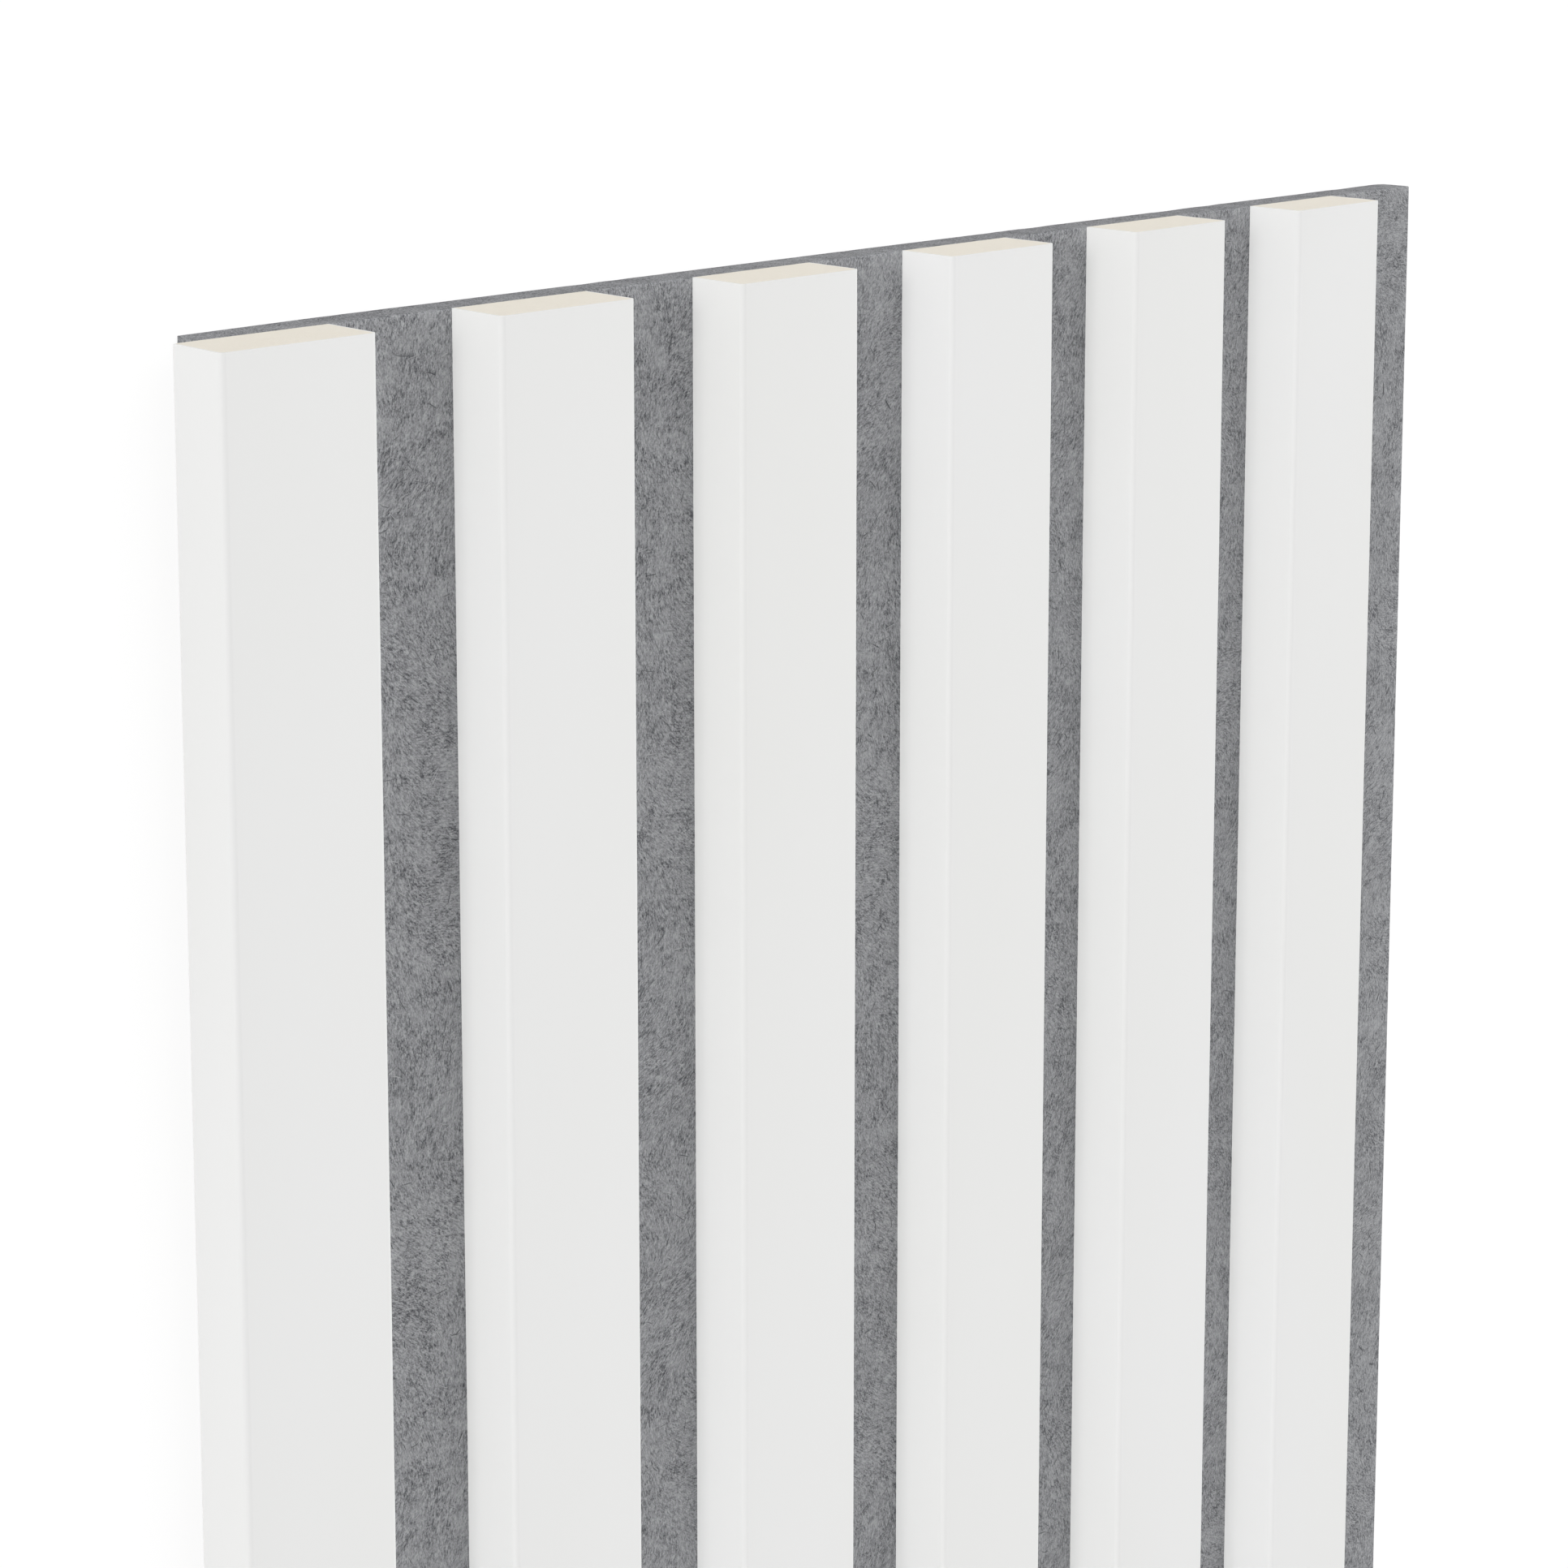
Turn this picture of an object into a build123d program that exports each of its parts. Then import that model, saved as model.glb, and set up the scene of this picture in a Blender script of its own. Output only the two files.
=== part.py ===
"""Acoustic slat panel: white foil-wrapped fibreboard slats glued in a row on a grey felt sheet.

The panel lies flat on its felt back, in millimetres. +Z comes out of the slat fronts, +Y runs
along the slats, and +X runs across the panel, from the slat that overhangs the felt to the bare
felt margin on the other side. The origin is the middle of the panel at its back face.
"""
import os

from build123d import *

# Panel
panel_length = 1200.0

# Slats
slat_count = 6
slat_width = 27.0
slat_thickness = 12.0
slat_gap = 23.0
slat_overhang = 5.0  # of the first slat, past the felt and over the joint with the next panel
arris_radius = 1.0  # of the two front corners of a slat
foil_thickness = 0.3

# Felt sheet
felt_thickness = 7.0
felt_edge_radius = 0.4

# Worked out from the sizes above. One felt width is a whole number of slat pitches, so the
# slats keep their pitch from one panel to the next, and the bare margin takes what is left.
slat_pitch = slat_width + slat_gap
felt_width = slat_count * slat_pitch
panel_width = felt_width + slat_overhang
panel_left = -panel_width / 2
felt_left = panel_left + slat_overhang
core_width = slat_width - 2 * foil_thickness
core_thickness = slat_thickness - foil_thickness
core_arris_radius = arris_radius - foil_thickness


def slat_outline(width, thickness, front_radius):
    """Section of a slat that stands on the sketch's X axis, with its two front corners rounded."""
    with BuildSketch() as outline:
        Rectangle(width, thickness, align=(Align.CENTER, Align.MIN))
        front_corners = outline.vertices().group_by(Axis.Y)[-1]
        fillet(front_corners, front_radius)
    return outline.sketch


def write_piece(piece, node):
    """Label a finished piece with its node's name and write its STEP file."""
    piece.part.label = node
    export_step(piece.part, f"parts/{node}.step")


os.makedirs("parts", exist_ok=True)
core_outline = slat_outline(core_width, core_thickness, core_arris_radius)
wrapped_outline = slat_outline(slat_width, slat_thickness, arris_radius)

# Felt backing sheet: one flat sheet, with the edges a little rounded where it was cut
with BuildPart() as felt_backing:
    with BuildSketch():
        with Locations((felt_left, 0)):
            Rectangle(felt_width, panel_length, align=(Align.MIN, Align.CENTER))
    extrude(amount=felt_thickness)
    fillet(felt_backing.edges(), felt_edge_radius)
write_piece(felt_backing, "felt_backing")

# Slats: a fibreboard core, and a foil folded round its front and both sides. Both are sawn off
# flush with the felt at the two ends, and both stand on the felt's face.
for number in range(1, slat_count + 1):
    slat_centre = panel_left + slat_width / 2 + (number - 1) * slat_pitch
    section = Plane((slat_centre, 0, felt_thickness), x_dir=(1, 0, 0), z_dir=(0, -1, 0))

    with BuildPart() as slat_core:
        with BuildSketch(section):
            add(core_outline)
        extrude(amount=panel_length / 2, both=True)
    write_piece(slat_core, f"slat_core_{number}")

    with BuildPart() as slat_foil:
        with BuildSketch(section):
            add(wrapped_outline)
            add(core_outline, mode=Mode.SUBTRACT)
        extrude(amount=panel_length / 2, both=True)
    write_piece(slat_foil, f"slat_foil_{number}")
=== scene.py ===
from math import cos, pi, radians, sin

import bpy
import numpy as np
from mathutils import Matrix, Vector, noise


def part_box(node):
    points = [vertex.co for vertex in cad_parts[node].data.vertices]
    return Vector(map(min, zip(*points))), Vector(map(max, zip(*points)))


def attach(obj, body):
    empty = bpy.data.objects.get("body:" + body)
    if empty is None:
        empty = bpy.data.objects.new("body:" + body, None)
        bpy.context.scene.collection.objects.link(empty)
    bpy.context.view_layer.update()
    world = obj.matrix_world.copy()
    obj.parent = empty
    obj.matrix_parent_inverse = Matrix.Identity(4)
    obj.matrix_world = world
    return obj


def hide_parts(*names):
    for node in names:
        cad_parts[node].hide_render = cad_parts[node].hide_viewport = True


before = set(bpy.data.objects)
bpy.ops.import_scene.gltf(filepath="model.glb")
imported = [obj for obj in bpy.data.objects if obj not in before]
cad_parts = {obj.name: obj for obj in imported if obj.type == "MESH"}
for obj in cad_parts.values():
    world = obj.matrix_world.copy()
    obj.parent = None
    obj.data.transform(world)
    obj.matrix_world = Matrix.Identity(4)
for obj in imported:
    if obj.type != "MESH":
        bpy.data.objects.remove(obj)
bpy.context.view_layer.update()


# Felt backing sheet
# One sheet of grey needle felt that carries all the slats. Its fibres are punched into a mat, so the
# face is a little lumpy, and the knife that cut the sheet left its edges slightly round.
slat_numbers = range(1, 1 + sum(node.startswith("slat_core_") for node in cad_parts))
felt_low, felt_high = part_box("felt_backing")
felt_edge_radius = 0.0004
felt_edge_steps = 3
felt_wall_rings = 5
felt_rows = 600
felt_column_step = 0.0016
lump_sizes = (0.0070, 0.0026)
lump_heights = (0.00010, 0.00005)
lump_margin = 0.0001
felt_dark = (0.084, 0.086, 0.094, 1)
felt_grey = (0.273, 0.277, 0.287, 1)
felt_light = (0.404, 0.409, 0.420, 1)

# Room on the map that baked colours go on. The felt's map has square cells: its face is cut into lengths,
# one in a cell, and the last cell holds the walls, in lanes one above the other, and the back.
layout_rim = 0.02
felt_cells = 3
felt_lengths = felt_cells ** 2 - 1
felt_covered_room = 0.0015
wall_room = 0.6
wall_lanes = 10
wall_lane_length = 0.98
wall_lane_height = 0.9
back_room = 0.3


def new_piece(name, shape, material, node=None):
    """A smooth mesh on the panel's one body, in place of a node if one is given. The shape is its vertices,
    its faces, and its layout: a (u, v) on the map for baked colours for each corner of each face."""
    vertices, faces, layout = shape
    mesh = bpy.data.meshes.new(name)
    mesh.from_pydata(vertices, [], faces)
    mesh.shade_smooth()
    mesh.materials.append(material)
    mesh.uv_layers.new(name="OFBake").data.foreach_set("uv", np.ravel(layout))
    piece = bpy.data.objects.new(name, mesh)
    bpy.context.scene.collection.objects.link(piece)
    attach(piece, "root")
    if node:
        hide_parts(node)
    return piece


def inset(share):
    """That share of the way across the layout, from rim to rim."""
    return layout_rim + (1 - 2 * layout_rim) * share


def in_cell(cell, u, v):
    """A place in one of the felt's cells, which are counted along the layout's rows."""
    return (cell % felt_cells + inset(u)) / felt_cells, (cell // felt_cells + inset(v)) / felt_cells


def new_material(name):
    """A material of that name with its node tree and its Principled shader."""
    material = bpy.data.materials.new(name)
    material.use_nodes = True
    return material, material.node_tree, material.node_tree.nodes["Principled BSDF"]


def put(tree, socket, value):
    """Links an output to that socket, or sets the socket to a plain value."""
    if isinstance(value, bpy.types.NodeSocket):
        tree.links.new(value, socket)
    else:
        socket.default_value = value


def maths(tree, operation, *values):
    """The output of a Math node."""
    node = tree.nodes.new("ShaderNodeMath")
    node.operation = operation
    for socket, value in zip(node.inputs, values):
        put(tree, socket, value)
    return node.outputs[0]


def placed(tree, cell, turn=0.0):
    """Object coordinates turned about Z, and divided by the size of a cell along each axis."""
    place = tree.nodes.new("ShaderNodeTexCoord").outputs["Object"]
    if turn:
        rotate = tree.nodes.new("ShaderNodeVectorRotate")
        rotate.rotation_type = "Z_AXIS"
        put(tree, rotate.inputs["Vector"], place)
        put(tree, rotate.inputs["Angle"], turn)
        place = rotate.outputs[0]
    scale = tree.nodes.new("ShaderNodeVectorMath")
    scale.operation = "DIVIDE"
    put(tree, scale.inputs[0], place)
    put(tree, scale.inputs[1], cell)
    return scale.outputs[0]


def clouds(tree, place, detail=2.0, roughness=0.5):
    """The value of a Noise texture with cells of size 1 at that place."""
    node = tree.nodes.new("ShaderNodeTexNoise")
    put(tree, node.inputs["Vector"], place)
    put(tree, node.inputs["Scale"], 1.0)
    put(tree, node.inputs["Detail"], detail)
    put(tree, node.inputs["Roughness"], roughness)
    return node.outputs["Fac"]


def between(tree, value, low, high):
    """0 where the value is at low and 1 where it is at high, with a smooth change from one to the other."""
    node = tree.nodes.new("ShaderNodeMapRange")
    node.interpolation_type = "SMOOTHSTEP"
    put(tree, node.inputs["Value"], value)
    put(tree, node.inputs["From Min"], low)
    put(tree, node.inputs["From Max"], high)
    return node.outputs["Result"]


def ramp(tree, value, stops):
    """A colour ramp with those (position, colour) stops."""
    node = tree.nodes.new("ShaderNodeValToRGB")
    put(tree, node.inputs["Fac"], value)
    elements = node.color_ramp.elements
    given = len(elements)
    for index, (position, colour) in enumerate(stops):
        element = elements[index] if index < given else elements.new(position)
        element.position = position
        element.color = colour
    return node.outputs["Color"]


def bump(tree, height, distance):
    """A normal from a height, of which 1 stands for that distance."""
    node = tree.nodes.new("ShaderNodeBump")
    put(tree, node.inputs["Height"], height)
    put(tree, node.inputs["Distance"], distance)
    return node.outputs["Normal"]


def fibre_strokes(tree):
    """Height of short strokes of fibre, either way from 0. Strokes of several leans are added up, and the
    lean that counts most changes slowly over the felt."""
    stroke_cell = (0.0011, 0.00023, 0.00030)
    lean_cell = (0.03, 0.04, 0.03)
    lean_range = 2.2
    leans = 6
    first_lean = 0.35
    least_weight = 0.35
    more_weight = 0.8
    narrowness = 3.0
    lean = maths(tree, "MULTIPLY", clouds(tree, placed(tree, lean_cell), detail=1.0), lean_range)
    total = 0.0
    power = 0.0
    for number in range(leans):
        place = placed(tree, stroke_cell, pi * (number + first_lean) / leans)
        stroke = maths(tree, "SUBTRACT", clouds(tree, place, detail=3.0, roughness=0.6), 0.5)
        # Half a unit where the slow lean is this one, and 0 where it goes across it
        near = maths(tree, "PINGPONG", maths(tree, "ADD", lean, number / leans), 0.5)
        near = maths(tree, "POWER", maths(tree, "MULTIPLY", near, 2.0), narrowness)
        weight = maths(tree, "MULTIPLY_ADD", near, more_weight, least_weight)
        total = maths(tree, "ADD", total, maths(tree, "MULTIPLY", stroke, weight))
        power = maths(tree, "ADD", power, maths(tree, "MULTIPLY", weight, weight))
    return maths(tree, "DIVIDE", total, maths(tree, "SQRT", power))


def felt_material():
    """Grey felt: strokes of fibre, which stand out most in hollows, over dark and pale patches. The cut
    edges, which face sideways, are a little darker."""
    material, tree, shader = new_material("grey_felt")
    patch_cell = (0.0042, 0.0042, 0.0042)
    cloud_cell = (0.011, 0.011, 0.011)
    hollow_range = (0.62, 0.38)
    stroke_share = 1.5
    hollow_stroke_share = 0.7
    patch_share = 0.52
    cloud_share = 0.20
    plain_shade = 0.14
    edge_range = (0.8, 0.3)
    edge_shade = -0.06
    strokes = fibre_strokes(tree)
    patches = clouds(tree, placed(tree, patch_cell), detail=5.0, roughness=0.62)
    hollow = between(tree, patches, *hollow_range)
    contrast = maths(tree, "MULTIPLY_ADD", hollow, hollow_stroke_share, stroke_share)
    shade = maths(tree, "MULTIPLY_ADD", strokes, contrast, plain_shade)
    shade = maths(tree, "MULTIPLY_ADD", patches, patch_share, shade)
    shade = maths(tree, "MULTIPLY_ADD", clouds(tree, placed(tree, cloud_cell)), cloud_share, shade)
    facing = tree.nodes.new("ShaderNodeSeparateXYZ")
    put(tree, facing.inputs[0], tree.nodes.new("ShaderNodeNewGeometry").outputs["Normal"])
    cut_edge = between(tree, maths(tree, "ABSOLUTE", facing.outputs["Z"]), *edge_range)
    shade = maths(tree, "MULTIPLY_ADD", cut_edge, edge_shade, shade)
    colour = ramp(tree, shade, [(0.1, felt_dark), (0.5, felt_grey), (0.8, felt_light)])
    put(tree, shader.inputs["Base Color"], colour)
    put(tree, shader.inputs["Roughness"], 0.95)
    put(tree, shader.inputs["Specular IOR Level"], 0.1)
    put(tree, shader.inputs["Normal"], bump(tree, strokes, 0.00015))
    return material


def bare_strips():
    """(left, right) of the strips of felt that no slat covers."""
    sides = [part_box(f"slat_foil_{number}") for number in slat_numbers]
    rights = [low.x for low, _ in sides[1:]] + [felt_high.x - felt_edge_radius]
    return [(high.x, right) for (_, high), right in zip(sides, rights)]


def felt_columns():
    """X of the face's columns, close together where the felt is bare, each with its way across the
    layout."""
    columns = [(felt_low.x + felt_edge_radius, 0.0)]
    for left, right in bare_strips():
        start = columns[-1][1] + felt_covered_room
        steps = round((right - left) / felt_column_step)
        for step in range(steps + 1):
            columns.append((left + (right - left) * step / steps, start + felt_column_step * step))
    return columns


def lumps(x, y, z):
    """Height of the felt's lumps at a place, either way from the flat face."""
    place = Vector((x, y, z))
    return sum(height * noise.noise(place / size) for size, height in zip(lump_sizes, lump_heights))


def felt_face(columns, rows):
    """Vertices, faces and layout of the felt's face: a grid, lumpy where bare and flat under the slats."""
    strips = bare_strips()
    vertices = []
    for y in rows:
        for x, _ in columns:
            bare = any(left + lump_margin < x < right - lump_margin for left, right in strips)
            vertices.append((x, y, felt_high.z + lumps(x, y, 0) * bare))
    faces = []
    layout = []
    across = len(columns)
    rows_each = felt_rows // felt_lengths
    for row in range(felt_rows):
        length = row // rows_each
        for column in range(across - 1):
            first = row * across + column
            faces.append((first, first + 1, first + across + 1, first + across))
            for right, up in ((0, 0), (1, 0), (1, 1), (0, 1)):
                way = columns[column + right][1] / columns[-1][1]
                layout.append(in_cell(length, way, (row + up) / rows_each - length))
    return vertices, faces, layout


def felt_rim(across):
    """Numbers of the vertices round the face's rim, in a face that is that many vertices across."""
    rim = list(range(across))
    rim += [row * across + across - 1 for row in range(1, felt_rows + 1)]
    rim += [felt_rows * across + column for column in range(across - 2, -1, -1)]
    rim += [row * across for row in range(felt_rows - 1, 0, -1)]
    return rim


def wall_levels():
    """(reach, drop) of each ring of the walls: how far it lies out from the rim, in edge radii, and how far
    below the face. The walls round off from the face, go straight down and round off into the back."""
    straight = felt_high.z - felt_low.z - 2 * felt_edge_radius
    quarter = [pi / 2 * step / felt_edge_steps for step in range(1, felt_edge_steps + 1)]
    levels = [(sin(angle), felt_edge_radius * (1 - cos(angle))) for angle in quarter]
    for ring in range(1, felt_wall_rings + 1):
        levels.append((1.0, felt_edge_radius + straight * ring / felt_wall_rings))
    levels += [(cos(angle), felt_edge_radius * (1 + sin(angle)) + straight) for angle in quarter]
    return levels


def felt_walls(face, rim, outward):
    """Vertices, faces and layout of the walls below the face's rim, pressed in a little by lumps, and the
    numbers of the vertices of their lowest ring."""
    walked = [0.0]
    for index, following in zip(rim, rim[1:] + rim[:1]):
        walked.append(walked[-1] + (Vector(face[following]) - Vector(face[index])).length)
    lane = walked[-1] / wall_lanes
    thickness = felt_high.z - felt_low.z
    vertices = []
    faces = []
    layout = []
    ring = rim
    drop_before = 0.0
    for reach, drop in wall_levels():
        below = [len(face) + len(vertices) + i for i in range(len(rim))]
        for index, push in zip(rim, outward):
            x, y, _ = face[index]
            pressed = 1 - abs(lumps(x, y, drop)) / felt_edge_radius
            vertices.append((x + push.x * reach * pressed, y + push.y * reach * pressed, felt_high.z - drop))
        for i in range(len(rim)):
            after = (i + 1) % len(rim)
            faces.append((ring[i], below[i], below[after], ring[after]))
            number = int(walked[i] / lane)
            for place, depth in ((i, drop_before), (i, drop), (i + 1, drop), (i + 1, drop_before)):
                along = wall_lane_length * (walked[place] / lane - number)
                level = (number + wall_lane_height * depth / thickness) / wall_lanes
                layout.append(in_cell(felt_lengths, along, wall_room * level))
        ring = below
        drop_before = drop
    return vertices, faces, layout, ring


def felt_sheet():
    """Vertices, faces and layout of the whole sheet: its lumpy face, its walls and its flat back."""
    columns = felt_columns()
    rows = np.linspace(felt_low.y + felt_edge_radius, felt_high.y - felt_edge_radius, felt_rows + 1)
    vertices, faces, layout = felt_face(columns, rows)
    rim = felt_rim(len(columns))
    outward = []
    for index in rim:
        x, y, _ = vertices[index]
        push_x = int(x == columns[-1][0]) - int(x == columns[0][0])
        push_y = int(y == rows[-1]) - int(y == rows[0])
        outward.append(Vector((push_x, push_y, 0)).normalized() * felt_edge_radius)
    wall_vertices, wall_faces, wall_layout, lowest = felt_walls(vertices, rim, outward)
    vertices += wall_vertices
    back = tuple(reversed(lowest))
    size = felt_high - felt_low
    back_layout = []
    for index in back:
        x, y, _ = vertices[index]
        aside = 1 - back_room + back_room * (x - felt_low.x) / size.x
        back_layout.append(in_cell(felt_lengths, (y - felt_low.y) / size.y, aside))
    return vertices, faces + wall_faces + [back], layout + wall_layout + back_layout


felt = new_piece("felt_backing_sheet", felt_sheet(), felt_material(), "felt_backing")


# Loose felt fibres
# Fibres that the needles left lying on the bare felt, some darker and some paler than the mat. Each one
# is thin, bends a little and dips into the felt at both ends.
fibre_count = 15000
fibre_seed = 7
fibre_length = (0.0016, 0.0042)
fibre_width = (0.00007, 0.00013)
fibre_lift = (0.00002, 0.00010)
fibre_bend = 0.0004
fibre_dip = 0.00012
fibre_ring_places = (-0.18, 0.18)
fibre_dark = (0.075, 0.077, 0.085, 1)
fibre_pale = (0.440, 0.445, 0.455, 1)
dark_share = 0.5
dark_shades = (0.0, 0.3)
pale_shades = (0.7, 1.0)

# A fibre's vertices are a tip, two rings of three and a tip. On the layout it lies in a narrow lane, and
# its shade says how far to the right that is.
ring_corners = 3
near_ring = 1
far_ring = near_ring + ring_corners
far_tip = far_ring + ring_corners
fibre_turns = [(side, (side + 1) % ring_corners) for side in range(ring_corners)]
fibre_faces = [(0, near_ring + after, near_ring + side) for side, after in fibre_turns]
fibre_faces += [(near_ring + side, near_ring + after, far_ring + after, far_ring + side)
                for side, after in fibre_turns]
fibre_faces += [(far_tip, far_ring + side, far_ring + after) for side, after in fibre_turns]
fibre_across = [0.5] + [0.0, 0.5, 1.0] * 2 + [0.5]
fibre_along = [inset(0)] + [0.35] * ring_corners + [0.65] * ring_corners + [inset(1)]
fibre_lane = 0.02
fibre_shade_room = 1 - 2 * layout_rim - fibre_lane


def fibre_material():
    """Felt fibre, dark or pale by the shade that each fibre carries."""
    material, tree, shader = new_material("felt_fibre")
    streak_cell = (0.0006, 0.0006, 0.0006)
    streak_share = 0.2
    shade = tree.nodes.new("ShaderNodeAttribute")
    shade.attribute_name = "shade"
    streaks = maths(tree, "SUBTRACT", clouds(tree, placed(tree, streak_cell)), 0.5)
    tone = maths(tree, "MULTIPLY_ADD", streaks, streak_share, shade.outputs["Fac"])
    put(tree, shader.inputs["Base Color"], ramp(tree, tone, [(0.0, fibre_dark), (1.0, fibre_pale)]))
    put(tree, shader.inputs["Roughness"], 0.8)
    put(tree, shader.inputs["Specular IOR Level"], 0.15)
    return material


def loose_fibres():
    """The shape of all the fibres, as vertices, faces and layout, and the shade of each vertex."""
    draw = np.random.default_rng(fibre_seed)
    strips = bare_strips()
    widths = np.array([right - left for left, right in strips])
    dip = Vector((0, 0, -fibre_dip))
    vertices = []
    faces = []
    layout = []
    shades = []
    for _ in range(fibre_count):
        left, right = strips[draw.choice(len(strips), p=widths / widths.sum())]
        length = draw.uniform(*fibre_length)
        width = draw.uniform(*fibre_width)
        heading = draw.uniform(0, pi)
        along = Vector((cos(heading), sin(heading), 0))
        aside = Vector((-along.y, along.x, 0)) * width / 2
        bend = aside.normalized() * draw.uniform(-fibre_bend, fibre_bend)
        reach = abs(along.x) * length / 2 + fibre_bend
        x = draw.uniform(left + reach, right - reach)
        y = draw.uniform(felt_low.y + fibre_length[1], felt_high.y - fibre_length[1])
        centre = Vector((x, y, felt_high.z))
        centre.z += lumps(centre.x, centre.y, 0)
        up = Vector((0, 0, width / 2))
        lift = Vector((0, 0, draw.uniform(*fibre_lift)))
        first = len(vertices)
        vertices.append(centre - along * length / 2 + dip)
        for share in fibre_ring_places:
            middle = centre + along * length * share + bend + lift
            vertices += [middle + aside, middle + up, middle - aside]
        vertices.append(centre + along * length / 2 + dip)
        shade_range = dark_shades if draw.random() < dark_share else pale_shades
        shade = draw.uniform(*shade_range)
        shades += [shade] * (len(vertices) - first)
        lane = layout_rim + fibre_shade_room * shade
        for corners in fibre_faces:
            faces.append(tuple(first + corner for corner in corners))
            layout += [(lane + fibre_lane * fibre_across[corner], fibre_along[corner]) for corner in corners]
    return (vertices, faces, layout), shades


fibre_shape, fibre_shades = loose_fibres()
fibres = new_piece("loose_felt_fibres", fibre_shape, fibre_material())
fibres.data.attributes.new("shade", "FLOAT", "POINT").data.foreach_set("value", fibre_shades)


# Slat cores
# Six strips sawn from pale fibreboard and glued to the felt in a row. The saw left the ends bare, and
# they show the board: cream, fine and even, with specks of fibre.
board_cream = (0.778, 0.734, 0.650, 1)
board_speck = (0.763, 0.716, 0.629, 1)
board_pale = (0.787, 0.745, 0.664, 1)
foil_thickness = 0.0003
arris_radius = 0.001
arris_steps = 10
sharp_angle = radians(40)
core_lanes_room = 0.5
core_end_room = 0.46
core_end_places = ((layout_rim, 0.56), (0.52, 0.56))


def board_material():
    """Fibreboard: cream, with fine specks and a saw's fine roughness."""
    material, tree, shader = new_material("fibreboard")
    speck_cell = (0.0005, 0.0005, 0.0005)
    patch_cell = (0.003, 0.003, 0.003)
    speck_share = 0.65
    patch_share = 0.35
    specks = clouds(tree, placed(tree, speck_cell), detail=3.0, roughness=0.6)
    patches = clouds(tree, placed(tree, patch_cell))
    shade = maths(tree, "MULTIPLY_ADD", patches, patch_share, maths(tree, "MULTIPLY", specks, speck_share))
    colour = ramp(tree, shade, [(0.33, board_speck), (0.5, board_cream), (0.68, board_pale)])
    put(tree, shader.inputs["Base Color"], colour)
    put(tree, shader.inputs["Roughness"], 0.85)
    put(tree, shader.inputs["Specular IOR Level"], 0.25)
    put(tree, shader.inputs["Normal"], bump(tree, specks, 0.00010))
    return material


def slat_outline(low, high, radius):
    """Section of a slat as (x, z) points, from its back right corner over both rounded arrises to the back
    left one."""
    points = [(high.x, low.z)]
    for centre, start in ((high.x - radius, 0), (low.x + radius, pi / 2)):
        for step in range(arris_steps + 1):
            angle = start + pi / 2 * step / arris_steps
            points.append((centre + radius * cos(angle), high.z - radius + radius * sin(angle)))
    return points + [(low.x, low.z)]


def drawn_out(outline, low, high):
    """Vertices of an outline at both ends of a slat, and the faces along the slat between them."""
    count = len(outline)
    vertices = [(x, y, z) for y in (low.y, high.y) for x, z in outline]
    faces = [(i, count + i, count + (i + 1) % count, (i + 1) % count) for i in range(count)]
    return vertices, faces


def slat_core(low, high):
    """Vertices, faces and layout of a solid strip. On the layout its long faces are lanes, and above them
    lie the two bare ends, at a larger scale."""
    outline = slat_outline(low, high, arris_radius - foil_thickness)
    count = len(outline)
    vertices, faces = drawn_out(outline, low, high)
    ends = [tuple(range(count)), tuple(reversed(range(count, 2 * count)))]
    layout = []
    for i in range(count):
        lane, following = (layout_rim + core_lanes_room * step / count for step in (i, i + 1))
        layout += [(inset(0), lane), (inset(1), lane), (inset(1), following), (inset(0), following)]
    scale = core_end_room / (high.x - low.x)
    for (left, bottom), end in zip(core_end_places, ends):
        for index in end:
            x, _, z = vertices[index]
            layout.append((left + scale * (x - low.x), bottom + scale * (z - low.z)))
    return vertices, faces + ends, layout


board = board_material()
for number in slat_numbers:
    core_shape = slat_core(*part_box(f"slat_core_{number}"))
    core = new_piece(f"fibreboard_core_{number}", core_shape, board, f"slat_core_{number}")
    core.data.set_sharp_from_angle(angle=sharp_angle)


# Slat foils
# A matt white foil, wrapped round the front and both sides of each core and glued on. It goes round
# the two arrises in a small radius, and it is sawn off with the core, so its ends show as a thin rim.
foil_white = (0.781, 0.781, 0.769, 1)
foil_cloud = (0.791, 0.791, 0.787, 1)
foil_lanes = (0.90, layout_rim)
foil_end_lanes = ((0.94, 0.92), (0.98, 0.96))
foil_hidden_room = 0.2


def foil_material():
    """Matt white foil with a faint grain."""
    material, tree, shader = new_material("white_foil")
    grain_cell = (0.0025, 0.0040, 0.0025)
    cloud_cell = (0.05, 0.12, 0.05)
    smoothest = 0.58
    grain_roughness = 0.12
    grain = clouds(tree, placed(tree, grain_cell))
    cloud = clouds(tree, placed(tree, cloud_cell))
    put(tree, shader.inputs["Base Color"], ramp(tree, cloud, [(0.3, foil_white), (0.7, foil_cloud)]))
    put(tree, shader.inputs["Roughness"], maths(tree, "MULTIPLY_ADD", grain, grain_roughness, smoothest))
    put(tree, shader.inputs["Specular IOR Level"], 0.15)
    put(tree, shader.inputs["Normal"], bump(tree, grain, 0.000008))
    return material


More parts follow.
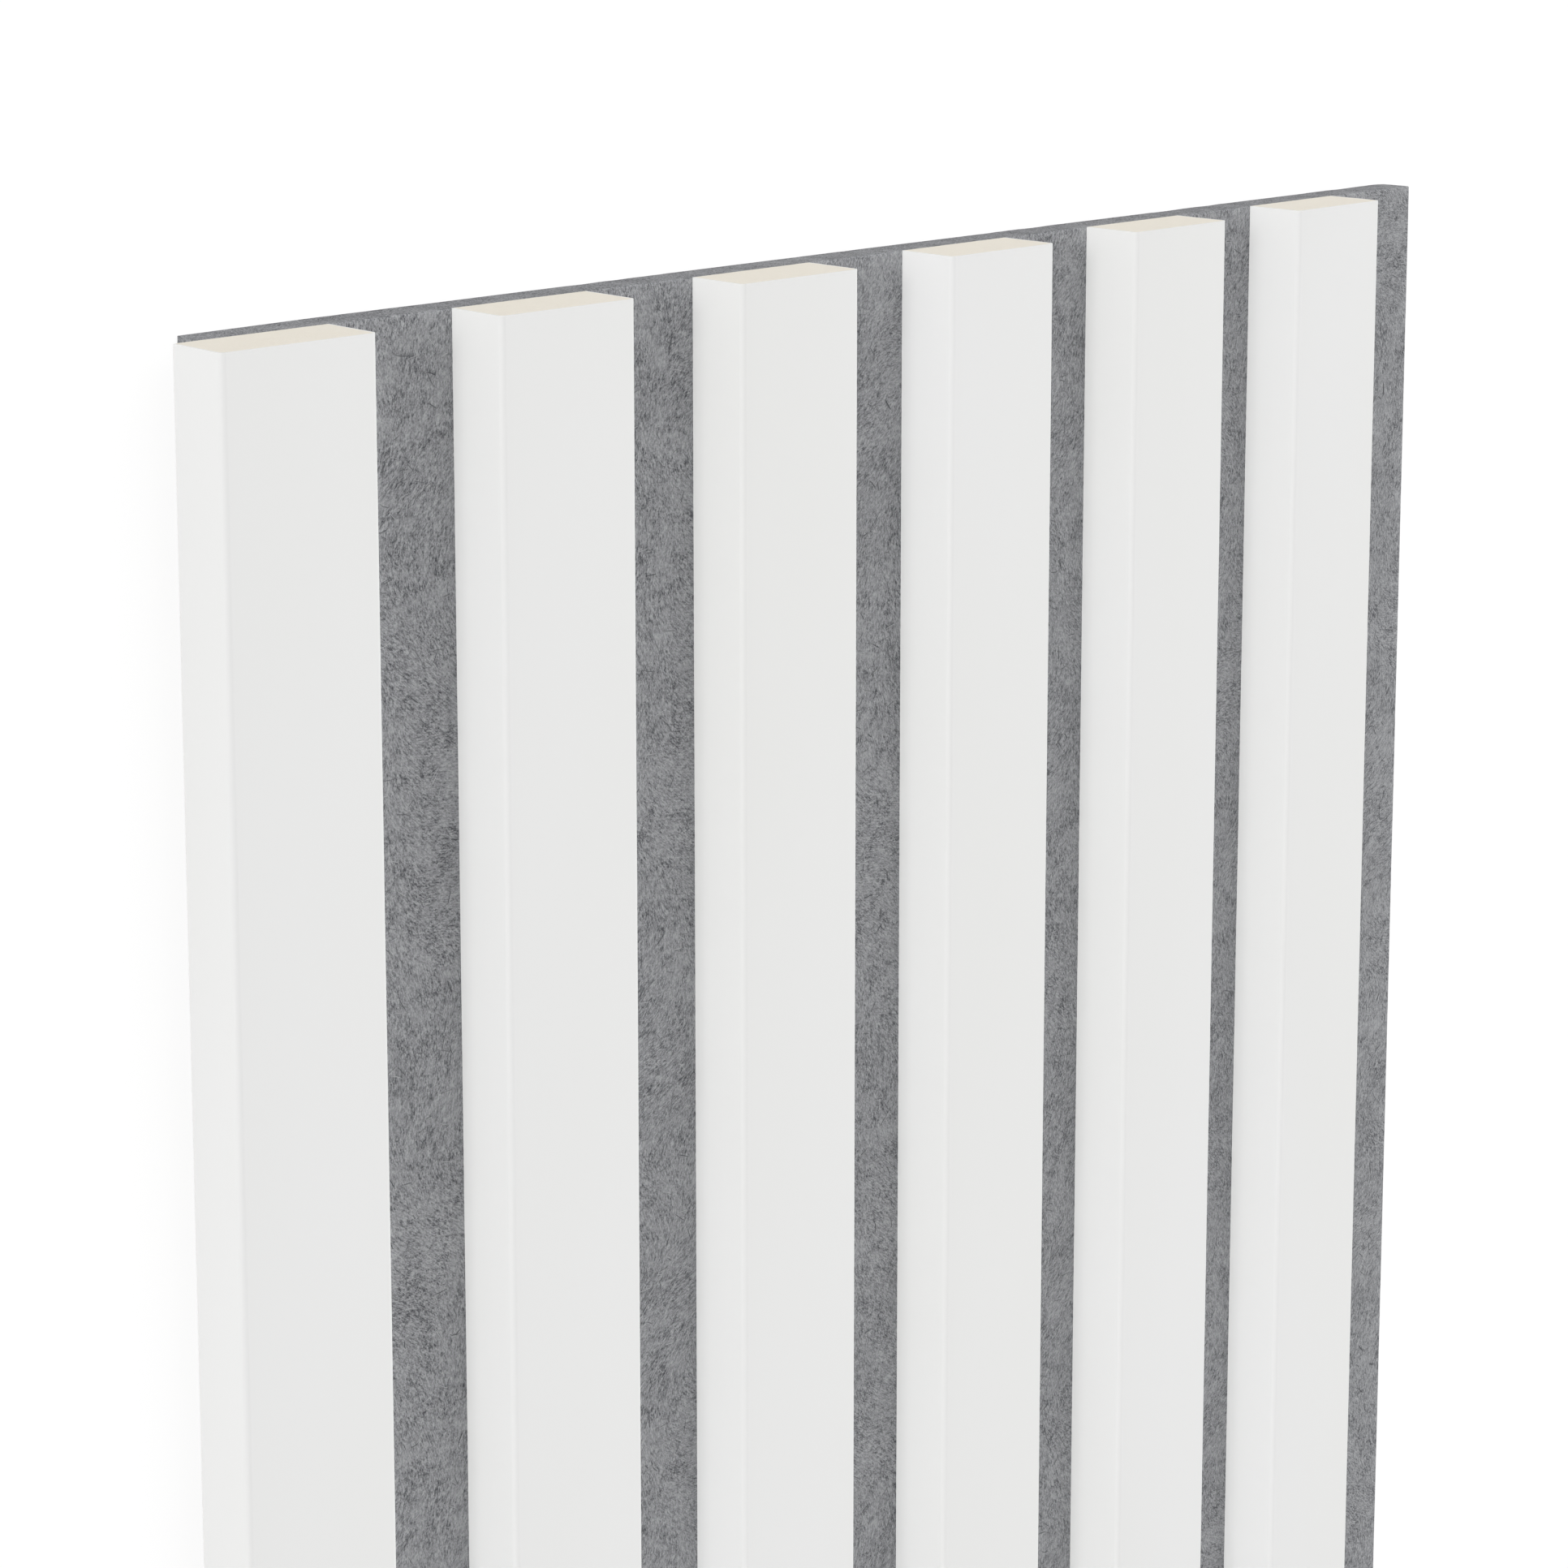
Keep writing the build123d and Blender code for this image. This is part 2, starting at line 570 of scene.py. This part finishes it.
def slat_foil(low, high):
    """Vertices, faces and layout of the folded foil: its outside, its inside against the core, and its
    edges. The layout unrolls the section, with most of the room for the outside, and the two ends lie
    beside it."""
    inside_low = Vector((low.x + foil_thickness, low.y, low.z))
    inside_high = Vector((high.x - foil_thickness, high.y, high.z - foil_thickness))
    outer = slat_outline(low, high, arris_radius)
    inner = slat_outline(inside_low, inside_high, arris_radius - foil_thickness)
    loop = outer + inner[::-1]
    count = len(loop)
    half = len(outer)
    vertices, faces = drawn_out(loop, low, high)
    walked = [0.0]
    for i in range(count):
        room = 1.0 if i < half - 1 else foil_hidden_room
        walked.append(walked[-1] + room * (Vector(loop[(i + 1) % count]) - Vector(loop[i])).length)
    first_lane, last_lane = foil_lanes
    lanes = [first_lane + (last_lane - first_lane) * way / walked[-1] for way in walked]
    layout = []
    for lane, following in zip(lanes, lanes[1:]):
        layout += [(lane, inset(0)), (lane, inset(1)), (following, inset(1)), (following, inset(0))]
    for i in range(half - 1):
        end = (i, i + 1, count - 2 - i, count - 1 - i)
        faces += [end, tuple(count + corner for corner in reversed(end))]
        start, stop = i / half, (i + 1) / half
        for lane, following in foil_end_lanes:
            layout += [(lane, start), (lane, stop), (following, stop), (following, start)]
    return vertices, faces, layout


foil_finish = foil_material()
for number in slat_numbers:
    foil_shape = slat_foil(*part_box(f"slat_foil_{number}"))
    foil = new_piece(f"white_foil_{number}", foil_shape, foil_finish, f"slat_foil_{number}")
    foil.data.set_sharp_from_angle(angle=sharp_angle)


# Floor and light
# A plain white floor under the panel and an even white sky. Soft lamps shine from above the end that the
# camera sees and from both sides, and low fills, which cast no shadow, light what faces sideways.
floor_size = 40.0
floor_gap = 0.0001
floor_bounce = (0.58, 0.58, 0.58, 1)
floor_shade = (0.10, 0.10, 0.10, 1)
floor_glow = 0.92
sky_white = (1, 1, 1, 1)
sky_strength = 0.42
lamps = {
    "end_lamp": {"towards": (0.05, 0.68, 0.73), "strength": 1.6, "softness": 50, "shadow": True},
    "left_lamp": {"towards": (-1.0, 0.2, 0.43), "strength": 0.42, "softness": 8, "shadow": True},
    "right_lamp": {"towards": (0.8, 0.1, 0.56), "strength": 0.95, "softness": 30, "shadow": True},
    "left_fill": {"towards": (-1.0, 0.2, -0.24), "strength": 1.41, "softness": 20, "shadow": False},
    "right_fill": {"towards": (1.0, -0.2, -0.5), "strength": 0.4, "softness": 20, "shadow": False},
    "far_fill": {"towards": (0.0, -1.0, -0.3), "strength": 1.5, "softness": 20, "shadow": False},
}


def seen_directly(tree):
    """1 for rays that show the background itself: from the camera, in gloss and through glass."""
    path = tree.nodes.new("ShaderNodeLightPath")
    seen = maths(tree, "MAXIMUM", path.outputs["Is Camera Ray"], path.outputs["Is Glossy Ray"])
    return maths(tree, "MAXIMUM", seen, path.outputs["Is Transmission Ray"])


def mixed(tree, factor, first, second):
    """A Mix Shader's output."""
    node = tree.nodes.new("ShaderNodeMixShader")
    for socket, value in zip(node.inputs, (factor, first, second)):
        put(tree, socket, value)
    return node.outputs[0]


def matt(tree, colour):
    """A Diffuse shader's output."""
    node = tree.nodes.new("ShaderNodeBsdfDiffuse")
    put(tree, node.inputs["Color"], colour)
    return node.outputs[0]


floor_material, floor_tree, _ = new_material("white_floor")
floor_tree.nodes.clear()
glow = floor_tree.nodes.new("ShaderNodeEmission")
glow.inputs["Strength"].default_value = floor_glow
lit = floor_tree.nodes.new("ShaderNodeAddShader")
put(floor_tree, lit.inputs[0], matt(floor_tree, floor_shade))
put(floor_tree, lit.inputs[1], glow.outputs[0])
floor_output = floor_tree.nodes.new("ShaderNodeOutputMaterial")
put(floor_tree, floor_output.inputs["Surface"],
    mixed(floor_tree, seen_directly(floor_tree), matt(floor_tree, floor_bounce), lit.outputs[0]))

floor_mesh = bpy.data.meshes.new("floor")
floor_half = floor_size / 2
floor_mesh.from_pydata([(-floor_half, -floor_half, 0), (floor_half, -floor_half, 0),
                        (floor_half, floor_half, 0), (-floor_half, floor_half, 0)], [], [(0, 1, 2, 3)])
floor_mesh.materials.append(floor_material)
floor = bpy.data.objects.new("floor", floor_mesh)
floor.location.z = felt_low.z - floor_gap
bpy.context.scene.collection.objects.link(floor)

sky = bpy.data.worlds.new("sky")
sky.use_nodes = True
sky_tree = sky.node_tree
sky_tree.nodes.clear()
sky_light = sky_tree.nodes.new("ShaderNodeBackground")
sky_light.inputs["Strength"].default_value = sky_strength
sky_backdrop = sky_tree.nodes.new("ShaderNodeBackground")
for background in (sky_light, sky_backdrop):
    background.inputs["Color"].default_value = sky_white
sky_output = sky_tree.nodes.new("ShaderNodeOutputWorld")
put(sky_tree, sky_output.inputs["Surface"],
    mixed(sky_tree, seen_directly(sky_tree), sky_light.outputs[0], sky_backdrop.outputs[0]))
bpy.context.scene.world = sky

for lamp_name, setting in lamps.items():
    lamp_data = bpy.data.lights.new(lamp_name, "SUN")
    lamp_data.energy = setting["strength"]
    lamp_data.angle = radians(setting["softness"])
    lamp_data.use_shadow = setting["shadow"]
    lamp = bpy.data.objects.new(lamp_name, lamp_data)
    lamp.rotation_euler = Vector(setting["towards"]).to_track_quat("Z", "Y").to_euler()
    bpy.context.scene.collection.objects.link(lamp)

bpy.context.scene.view_settings.view_transform = "Standard"


# Camera
# It looks down on one end of the panel from beyond that end and from the panel's left, turned towards
# the right. Its lens is shifted, so that the slats stay nearly parallel in the picture.
camera_place = Vector((-0.3902, 0.6680, 0.3752))
camera_turn = radians(44.25)
camera_pitch = radians(7.26)
camera_lens = 70.39
camera_sensor = 36
camera_shift = -0.34
camera_near = 0.01

camera_data = bpy.data.cameras.new("camera")
camera_data.sensor_width = camera_sensor
camera_data.lens = camera_lens
camera_data.shift_y = camera_shift
camera_data.clip_start = camera_near
camera = bpy.data.objects.new("camera", camera_data)
level_share = cos(camera_pitch)
looks = Vector((sin(camera_turn) * level_share, -sin(camera_pitch), -cos(camera_turn) * level_share))
right = looks.cross(Vector((0, 1, 0))).normalized()
camera_axes = Matrix((right, right.cross(looks), -looks)).transposed().to_4x4()
camera.matrix_world = Matrix.Translation(camera_place) @ camera_axes
bpy.context.scene.collection.objects.link(camera)
bpy.context.scene.camera = camera
